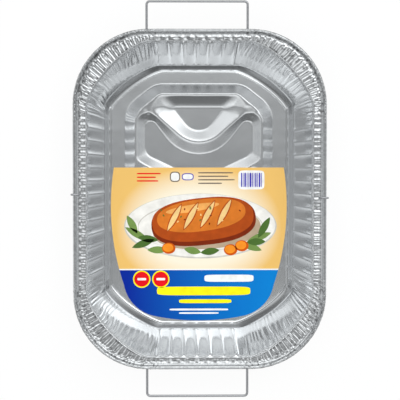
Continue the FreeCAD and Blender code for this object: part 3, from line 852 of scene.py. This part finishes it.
@dataclass
class PrintedCard:
    """The card, with its print as flat patches of colour on its face."""

    node: str = "label_card"
    ink_step: float = 0.02
    ink_lift: float = 0.001
    leaf_layer: int = 6
    cut_layer: int = 9
    crumb_layer: int = 11
    fruit_layer: int = 12

    def __post_init__(self) -> None:
        """Reads the card's place from the frame."""
        low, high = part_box(self.node)
        self.back_z, self.face_z = low[2] / MM, high[2] / MM
        self.low_y, self.top_y = low[1] / MM, high[1] / MM
        self.half_x = high[0] / MM

    def outline(self) -> Array:
        """The card's edge: bowed sides, round low corners, a bowed bottom and a straight top edge."""
        wide, low = self.half_x, self.low_y
        side = ((wide - 3.8, self.top_y), (wide - 0.2, low + 133.4), (wide - 16.1, low + 45.4))
        corner = (side[2], (wide - 28.1, low + 20.9), (wide - 52.6, low + 6.2))
        flip = [tuple((-x, y) for x, y in reversed(arc)) for arc in (side, corner)]
        foot = (corner[2], (0.0, low), flip[1][0])
        return np.concatenate([arc_through(*arc)[:-1] for arc in (side, corner, foot, flip[1], flip[0])]
                              + [np.array(flip[0][2:])])[::-1]

    def patch(self, name: str, outline: Array, ink: Ink, layer: int) -> Piece:
        """A flat patch of ink.

        Args:
            name: The patch's name.
            outline: Its points, counterclockwise, seen from the middle.
            ink: Its colour.
            layer: How many layers of ink lie under it.

        Returns:
            The piece.
        """
        points, faces = slab(outline, self.face_z + self.ink_lift, self.face_z + self.ink_step * (layer + 1))
        piece = make_piece(f"print_{name}", points, faces, None, False)
        piece.data.materials.append(InkFinish(ink).material())
        return piece

    def dish(self) -> Iterator[Print]:
        """A sliced loaf on an oval plate, with leaves and round slices of fruit beside it."""
        rounds = (("plate_edge", (2, -36), (96, 41), 0, 2.0, Ink.PLATE_EDGE),
                  ("plate", (2, -35.2), (94.5, 39.8), 0, 2.0, Ink.PLATE),
                  ("well_edge", (2, -37), (79, 30.5), 0, 2.0, Ink.PLATE_EDGE),
                  ("well", (2, -37.6), (78, 29.4), 0, 2.0, Ink.PLATE),
                  ("shade", (10, -40), (68, 25), 4, 2.2, Ink.SHADE),
                  ("loaf_foot", (6, -31), (66, 29), 6, 2.5, Ink.CRUST_DARK),
                  ("loaf", (5, -27.5), (64, 27), 6, 2.5, Ink.CRUST),
                  ("loaf_top", (3, -22.5), (56, 20), 7, 2.3, Ink.CRUST_LIGHT),
                  ("glaze", (-8, -13.5), (34, 4.5), 9, 2.0, Ink.GLAZE))
        for layer, (name, centre, half, tilt, power, ink) in enumerate(rounds):
            yield name, oval(centre, half, tilt, power), ink, layer
        for number, x in enumerate((-34, -13, 8, 29)):
            for layer, (width, length, ink) in enumerate(((9.5, 41, Ink.CRUST), (6.5, 37, Ink.CUT))):
                cut = leaf((x + 3, -22 + x * 0.11), length, width, 62)
                yield f"cut_{number}_{layer}", cut, ink, self.cut_layer + layer
        crumbs = np.random.default_rng(7).uniform((-48, -34), (52, -12), (16, 2))
        for number, place in enumerate(crumbs):
            ink = (Ink.LEAF, Ink.CUT, Ink.CRUST_DARK)[number % 3]
            yield f"crumb_{number}", oval(place, (1.5, 0.9), number * 40.0, points=10), ink, self.crumb_layer
        leaves = ((-78, -46, 34, 150), (-70, -58, 30, 200), (-84, -34, 26, 120), (-64, -52, 26, 172),
                  (76, -50, 32, 20), (82, -38, 30, 60), (66, -62, 28, -20), (72, -56, 24, 2),
                  (-52, -66, 26, 180), (14, -68, 24, 8), (-8, -67, 22, 168))
        for number, (x, y, length, tilt) in enumerate(leaves):
            ink, layer = ((Ink.LEAF_LIGHT, self.leaf_layer), (Ink.LEAF, self.leaf_layer + 1))[number % 2]
            yield f"leaf_{number}", leaf((x, y), length, 9, tilt), ink, layer
        for number, (x, y) in enumerate(((54, -61), (40, -66), (-38, -64))):
            yield f"fruit_{number}", oval((x, y), (8.5, 7)), Ink.ORANGE_DARK, self.fruit_layer
            yield f"slice_{number}", oval((x - 0.8, y + 0.7), (6.6, 5.2)), Ink.ORANGE, self.fruit_layer + 1

    def small_print(self) -> Iterator[Print]:
        """Plain bars where small print would be: upright ones in a white field, level ones beside it."""
        yield "bar_field", bar((66, 22), (33, 24)), Ink.WHITE, 0
        x, gap = 53.0, 0.85
        for number, width in enumerate((1.6, 0.8, 2.2, 1.0, 0.8, 2.6, 1.2, 0.8, 1.8, 1.0, 2.2, 0.9)):
            yield f"upright_{number}", bar((x + width / 2, 22), (width, 18)), Ink.VIOLET, 1
            x += width + gap
        for number, length in enumerate((44, 38, 46, 30)):
            yield f"line_{number}", bar((length / 2 - 1, 31 - number * 4.4), (length, 1.5)), Ink.GREY, 0
        marks = ((-30, (6.5, 6.5), Ink.GREY), (-30, (5.2, 5.2), Ink.WHITE),
                 (-14, (7.5, 4.5), Ink.VIOLET), (-14, (6.3, 3.4), Ink.WHITE))
        for number, (x, half, ink) in enumerate(marks):
            yield f"mark_{number}", oval((x, 26), half, 0.0, 3.0, 32), ink, number % 2
        for number, length in enumerate((30, 24, 27)):
            yield f"red_line_{number}", bar((length / 2 - 78, 30 - number * 4.6), (length, 1.7)), Ink.RED, 0

    def title_field(self) -> Iterator[Print]:
        """Round badges and plain bars on the blue band."""
        for number, x in enumerate((-72, -48)):
            yield f"badge_edge_{number}", oval((x, -103), (11, 11)), Ink.YELLOW, 0
            yield f"badge_{number}", oval((x, -103), (9.4, 9.4)), Ink.RED, 1
            yield f"badge_bar_{number}", bar((x, -103), (11, 3)), Ink.WHITE, 2
        bars = (((38, -102), (62, 9), Ink.WHITE), ((6, -118), (118, 11), Ink.YELLOW),
                ((8, -131), (66, 5), Ink.YELLOW), ((0, -141.5), (74, 2.4), Ink.WHITE),
                ((0, -146), (50, 2.0), Ink.WHITE))
        for number, (centre, size, ink) in enumerate(bars):
            yield f"title_{number}", bar(centre, size), ink, 0

    def build(self, finish: "CardFinish") -> list[Piece]:
        """Dresses the card and lays its print on it. The foil doesn't mirror them."""
        points, faces = slab(self.outline(), self.back_z, self.face_z)
        card = make_piece("card", points, faces, self.node, False)
        card.data.materials.append(finish.material())
        prints = chain(self.dish(), self.small_print(), self.title_field())
        pieces = [card] + [self.patch(*entry) for entry in prints]
        for piece in pieces:
            piece.visible_glossy = False
        return pieces


# Finishes


Fed = float | tuple[float, ...] | Socket
Inputs = dict[str | int, Fed]
PRINT_SURFACE = {"Roughness": 0.45, "Specular IOR Level": 0.12}
OPAQUE = (1.0,)


def linear(colour: Triple, share: float = 1.0) -> Colour:
    """A share of a colour as it renders, changed to the scene's linear light, with full alpha."""
    return tuple(min(value ** 2.2 * share, 1.0) for value in colour) + OPAQUE


def feed(node: Node, inputs: Inputs) -> Node:
    """Gives a node's inputs their constants or links.

    Args:
        node: The node.
        inputs: A constant or another node's output for each input, by name or number.

    Returns:
        The same node.
    """
    for key, value in inputs.items():
        if isinstance(value, Socket):
            node.id_data.links.new(value, node.inputs[key])
        else:
            node.inputs[key].default_value = value
    return node


def add_node(tree: Tree, kind: str, inputs: Inputs | None = None) -> Node:
    """Adds a shader node of a kind and feeds its inputs."""
    return feed(tree.nodes.new(f"ShaderNode{kind}"), inputs or {})


def add_math(tree: Tree, operation: str, first: Fed, second: Fed = 0.0) -> Socket:
    """Adds a math node and gives its value."""
    node = add_node(tree, "Math", {0: first, 1: second})
    node.operation = operation
    return node.outputs["Value"]


def add_mix(tree: Tree, share: Fed, first: Fed, second: Fed) -> Socket:
    """Adds a mix of two colours and gives the result."""
    node = add_node(tree, "Mix")
    node.data_type = "RGBA"
    return feed(node, {"Factor": share, "A": first, "B": second}).outputs["Result"]


def add_range(tree: Tree, value: Fed, span: Pair,
              result: tuple[Fed, Fed] = (0.0, 1.0), smooth: bool = False) -> Socket:
    """Adds a spread of a value from one span to another, evenly or with smooth ends."""
    node = add_node(tree, "MapRange", {"Value": value, "From Min": span[0], "From Max": span[1],
                                       "To Min": result[0], "To Max": result[1]})
    node.interpolation_type = "SMOOTHSTEP" if smooth else "LINEAR"
    return node.outputs["Result"]


def add_bump(shader: Node, grain: Node, strength: float, distance: float) -> None:
    """Adds a bump from a grain's height to a shader, `distance` in metres."""
    bump = add_node(shader.id_data, "Bump",
                    {"Strength": strength, "Distance": distance, "Height": grain.outputs["Height"]})
    feed(shader, {"Normal": bump.outputs["Normal"]})


def new_material(name: str) -> tuple[Material, Tree, Node]:
    """A new material with its node tree and its Principled BSDF."""
    material = bpy.data.materials.new(name)
    material.use_nodes = True
    tree = material.node_tree
    return material, tree, tree.nodes["Principled BSDF"]


def grain_group() -> Tree:
    """The group for fine grain: noise as a height, and spread from Low to High as a value."""
    group = bpy.data.node_groups.get("fine_grain")
    if group:
        return group
    group = bpy.data.node_groups.new("fine_grain", "ShaderNodeTree")
    sockets = {"INPUT": ("Vector", "Scale", "Detail", "Low", "High"), "OUTPUT": ("Height", "Value")}
    for side, names in sockets.items():
        for name in names:
            kind = "NodeSocketVector" if name == "Vector" else "NodeSocketFloat"
            group.interface.new_socket(name, in_out=side, socket_type=kind)
    given = group.nodes.new("NodeGroupInput").outputs
    noise = add_node(group, "TexNoise", {name: given[name] for name in ("Vector", "Scale", "Detail")})
    height = noise.outputs["Fac"]
    value = add_range(group, height, (0.3, 0.7), (given["Low"], given["High"]))
    feed(group.nodes.new("NodeGroupOutput"), {"Height": height, "Value": value})
    return group


def add_grain(tree: Tree, scale: float, detail: float, low: float = 0.0, high: float = 1.0,
              stretch: Triple = (1.0, 1.0, 1.0)) -> Node:
    """Places the grain group in a material, on Object coordinates stretched along the axes."""
    place = add_node(tree, "TexCoord").outputs["Object"]
    mapping = add_node(tree, "Mapping", {"Vector": place, "Scale": stretch})
    grain = add_node(tree, "Group")
    grain.node_tree = grain_group()
    return feed(grain, {"Vector": mapping.outputs["Vector"], "Scale": scale, "Detail": detail,
                        "Low": low, "High": high})


@dataclass(frozen=True)
class FoilFinish:
    """Bright aluminium foil: rolled lines along the pan, a faint crinkle, and painted shade where
    its shade attribute asks for it.
    """

    colour: Triple = (0.91, 0.915, 0.92)
    rough_low: float = 0.105
    rough_high: float = 0.145
    rolled_stretch: Triple = (6.0, 0.35, 1.0)
    crinkle: float = 0.035
    painted_shade_share: float = 0.31

    def material(self, name: str, rougher: float, drawn: float) -> Material:
        """The foil's material.

        Args:
            name: The material's name.
            rougher: How much roughness is added.
            drawn: How much further the rolled lines spread a reflection across the pan than along it.

        Returns:
            The material.
        """
        material, tree, shader = new_material(name)
        across = add_node(tree, "VectorTransform", {"Vector": (1.0, 0.0, 0.0)})
        across.vector_type, across.convert_from, across.convert_to = "VECTOR", "OBJECT", "WORLD"
        shade = add_node(tree, "Attribute")
        shade.attribute_name = "shade"
        # The darker colour is the painted shade, which the shade attribute mixes in.
        colour, shaded_colour = linear(self.colour), linear(self.colour, self.painted_shade_share)
        low, high = self.rough_low + rougher, self.rough_high + rougher
        rolled = add_grain(tree, 160.0, 3.0, low, high, self.rolled_stretch)
        feed(shader, {"Metallic": 1.0, "Anisotropic": drawn, "Tangent": across.outputs["Vector"],
                      "Base Color": add_mix(tree, shade.outputs["Fac"], colour, shaded_colour),
                      "Roughness": rolled.outputs["Value"]})
        add_bump(shader, add_grain(tree, 420.0, 5.0), self.crinkle, 0.0006)
        return material


@dataclass(frozen=True)
class WireFinish:
    """Bright drawn steel wire."""

    colour: Triple = (0.70, 0.70, 0.71)
    rough_low: float = 0.22
    rough_high: float = 0.4

    def material(self) -> Material:
        """The wire's material."""
        material, tree, shader = new_material("drawn_wire")
        grain = add_grain(tree, 900.0, 3.0, self.rough_low, self.rough_high)
        feed(shader, {"Base Color": linear(self.colour), "Metallic": 1.0,
                      "Roughness": grain.outputs["Value"]})
        add_bump(shader, grain, 0.1, 0.0002)
        return material


@dataclass(frozen=True)
class InkFinish:
    """Satin ink on card, with a slight unevenness."""

    ink: Ink
    thin: float = 0.86
    thick: float = 1.08

    def material(self) -> Material:
        """The ink's material, made once for each colour."""
        name = f"ink_{self.ink.name.lower()}"
        if name in bpy.data.materials:
            return bpy.data.materials[name]
        material, tree, shader = new_material(name)
        grain = add_grain(tree, 90.0, 5.0)
        tones = (linear(self.ink.value, self.thin), linear(self.ink.value, self.thick))
        feed(shader, PRINT_SURFACE | {"Base Color": add_mix(tree, grain.outputs["Value"], *tones)})
        return material


@dataclass(frozen=True)
class CardFinish:
    """The card's ground: tan that fades to cream in the middle, over a blue band with a white line.

    The fade follows the sum of both distances from its middle, each times its scale, to a power.
    """

    band_y: float = -91.6
    line_width: float = 1.6
    blue_half: float = 90.0
    middle_y: float = -38.0
    fade_scale: Pair = (11.0, 15.0)
    fade_power: float = 2.2
    fade_span: Pair = (0.45, 1.35)

    def material(self) -> Material:
        """The card's material, on Object coordinates."""
        material, tree, shader = new_material("printed_card")
        coordinates = add_node(tree, "TexCoord").outputs["Object"]
        place = add_node(tree, "SeparateXYZ", {"Vector": coordinates}).outputs

        def reach(distance: Socket, scale: float) -> Socket:
            """A distance times its scale, to the fade's power."""
            size = add_math(tree, "ABSOLUTE", add_math(tree, "MULTIPLY", distance, scale))
            return add_math(tree, "POWER", size, self.fade_power)

        def colours(*inks: Ink) -> list[Fed]:
            """The inks' colours in linear light."""
            return [linear(ink.value) for ink in inks]

        def below(height: float) -> Socket:
            """1 below a line across the card, else 0."""
            return add_math(tree, "LESS_THAN", place["Y"], height * MM)

        along = add_math(tree, "ADD", place["Y"], -self.middle_y * MM)
        total = add_math(tree, "ADD", reach(place["X"], self.fade_scale[0]), reach(along, self.fade_scale[1]))
        ground = add_mix(tree, add_range(tree, total, self.fade_span), *colours(Ink.CREAM, Ink.TAN))
        blue = add_range(tree, place["X"], (-self.blue_half * MM, self.blue_half * MM))
        band = add_mix(tree, blue, *colours(Ink.BLUE_DARK, Ink.BLUE_LIGHT))
        lined = add_mix(tree, below(self.band_y + self.line_width), ground, *colours(Ink.WHITE))
        feed(shader, PRINT_SURFACE | {"Base Color": add_mix(tree, below(self.band_y), lined, band)})
        add_bump(shader, add_grain(tree, 700.0, 3.0), 0.05, 0.0002)
        return material


# Studio


@dataclass(frozen=True)
class Glow:
    """A soft patch of light in the surroundings. Bearings run from +Y towards +X, angles in degrees."""

    bearing: float
    from_zenith: float
    full: float
    gone: float
    strength: float

    def direction(self) -> Vector:
        """Where the patch is, as seen from the pan."""
        bearing, tilt = math.radians(self.bearing), math.radians(self.from_zenith)
        level = math.sin(tilt)
        return Vector((math.sin(bearing) * level, math.cos(bearing) * level, math.cos(tilt)))

    def add_to(self, tree: Tree, direction: Socket,
               total: Socket) -> Socket:
        """Adds the patch to a sum of light: full within `full` degrees, none past `gone`."""
        nearness = add_node(tree, "VectorMath", {0: direction, 1: self.direction()})
        nearness.operation = "DOT_PRODUCT"
        span = (math.cos(math.radians(self.gone)), math.cos(math.radians(self.full)))
        light = add_range(tree, nearness.outputs["Value"], span, (0.0, self.strength), smooth=True)
        return add_math(tree, "ADD", light, total)


@dataclass
class Studio:
    """The camera over the pan, the white floor, the grey surroundings and the soft lights."""

    rim_scale: float = 1.199
    picture: float = 400.0
    sensor: float = 36.0
    camera_height: float = 1600.0
    nadir: Pair = (-28.0, 67.0)
    pan_pixel: Pair = (199.95, 200.0)
    floor_radius: float = 4.0
    floor_steps: int = 96
    floor_glow: float = 0.9
    overhead: float = 0.312
    horizon: float = 0.32
    fade: Pair = (66.0, 35.0)
    tint: Triple = (0.975, 1.0, 1.01)
    fill: float = 2.35
    fill_size: float = 2.0
    fill_height: float = 2.6
    glows: tuple[Glow, ...] = (
        Glow(8, 30, 12, 27, 1.0),
        Glow(42, 31, 6, 24, 0.88),
        Glow(0, 60, 15, 27, 0.6),
        Glow(48, 55, 14, 28, 0.55),
        Glow(0, 7, 4, 10, 0.26),
        Glow(95, 62, 12, 30, 0.25),
        Glow(268, 62, 12, 30, 0.28),
        Glow(-44, 52, 14, 24, 0.78),
        Glow(182, 33, 11, 20, 0.78),
        Glow(222, 31, 5, 22, 0.68),
        Glow(140, 30, 8, 20, 0.42),
    )

    def build_camera(self) -> None:
        """A camera straight over the pan, whose frame is `picture` pixels wide at the rim's level."""
        rim_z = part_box("pan")[1][2]
        data = bpy.data.cameras.new("camera")
        data.sensor_width = self.sensor
        data.lens = self.sensor * self.camera_height / (self.rim_scale * self.picture)
        data.clip_start, data.clip_end = 0.1, 20.0
        camera = bpy.data.objects.new("camera", data)
        middle, pixel = self.picture / 2, self.rim_scale * MM
        target = Vector(((middle - self.pan_pixel[0]) * pixel, (self.pan_pixel[1] - middle) * pixel, rim_z))
        camera.location = (self.nadir[0] * MM, self.nadir[1] * MM, rim_z + self.camera_height * MM)
        aim = (target - camera.location).normalized()
        tip = math.asin(aim.y)
        camera.rotation_euler = (tip, -math.asin(aim.x / math.cos(tip)), 0)
        bpy.context.scene.collection.objects.link(camera)
        bpy.context.scene.camera = camera

    def build_floor(self) -> None:
        """A round pale floor that the camera and the metal see as white, with the object's shadow."""
        count = self.floor_steps
        turn = np.linspace(0, 2 * math.pi, count, endpoint=False)
        edge = np.column_stack([np.cos(turn), np.sin(turn), np.zeros(count)]) * self.floor_radius
        mesh = bpy.data.meshes.new("floor")
        mesh.from_pydata([*edge.tolist(), (0, 0, 0)], [], [(k, (k + 1) % count, count) for k in range(count)])
        floor = bpy.data.objects.new("floor", mesh)
        bpy.context.scene.collection.objects.link(floor)
        material, tree, shader = new_material("floor")
        feed(shader, {"Base Color": (0.9, 0.9, 0.9, 1.0), "Roughness": 0.9})
        rays = add_node(tree, "LightPath").outputs
        seen = add_math(tree, "MAXIMUM", rays["Is Camera Ray"], rays["Is Glossy Ray"])
        seen = add_math(tree, "MAXIMUM", seen, rays["Is Transmission Ray"])
        white = add_node(tree, "Emission", {"Strength": 1.0})
        mix = add_node(tree, "MixShader", {"Fac": add_math(tree, "MULTIPLY", seen, self.floor_glow),
                                           1: shader.outputs["BSDF"], 2: white.outputs["Emission"]})
        feed(tree.nodes["Material Output"], {"Surface": mix.outputs["Shader"]})
        mesh.materials.append(material)

    def build_surround(self) -> None:
        """Grey surroundings with soft patches of light, white where the camera looks past the floor."""
        world = bpy.data.worlds.new("surround")
        bpy.context.scene.world = world
        world.use_nodes = True
        tree = world.node_tree
        direction = add_node(tree, "TexCoord").outputs["Generated"]
        height = add_node(tree, "SeparateXYZ", {"Vector": direction}).outputs["Z"]
        span = tuple(math.cos(math.radians(angle)) for angle in self.fade)
        total = add_range(tree, height, span, (self.horizon, self.overhead), smooth=True)
        for glow in self.glows:
            total = glow.add_to(tree, direction, total)
        channels = {name: add_math(tree, "MULTIPLY", total, share)
                    for name, share in zip(("Red", "Green", "Blue"), self.tint)}
        light = add_node(tree, "CombineColor", channels).outputs["Color"]
        seen = add_node(tree, "LightPath").outputs["Is Camera Ray"]
        feed(tree.nodes["Background"], {"Color": add_mix(tree, seen, light, (1.0, 1.0, 1.0, 1.0))})

    def build_fill(self) -> None:
        """A soft light overhead for the print and the floor, which the metal doesn't show."""
        data = bpy.data.lights.new("fill", "AREA")
        data.size = self.fill_size
        data.energy = self.fill * math.pi * data.size ** 2
        light = bpy.data.objects.new("fill", data)
        light.location = (0.0, 0.0, self.fill_height)
        light.visible_camera = light.visible_glossy = False
        bpy.context.scene.collection.objects.link(light)

    def build(self) -> None:
        """Sets up the whole studio."""
        bpy.context.scene.view_settings.view_transform = "Standard"
        self.build_camera()
        self.build_floor()
        self.build_surround()
        self.build_fill()


def main() -> None:
    """Builds the studio and every piece in order, and reports each one."""
    logging.basicConfig(level=logging.INFO, format="%(name)s: %(message)s")
    Studio().build()
    pieces = FoilPan().build(FoilFinish())
    pieces += Wires().dress(WireFinish())
    pieces += PrintedCard().build(CardFinish())
    for piece in pieces:
        log.info("%s: %d faces", piece.name, len(piece.data.polygons))


if __name__ == "__main__":
    main()
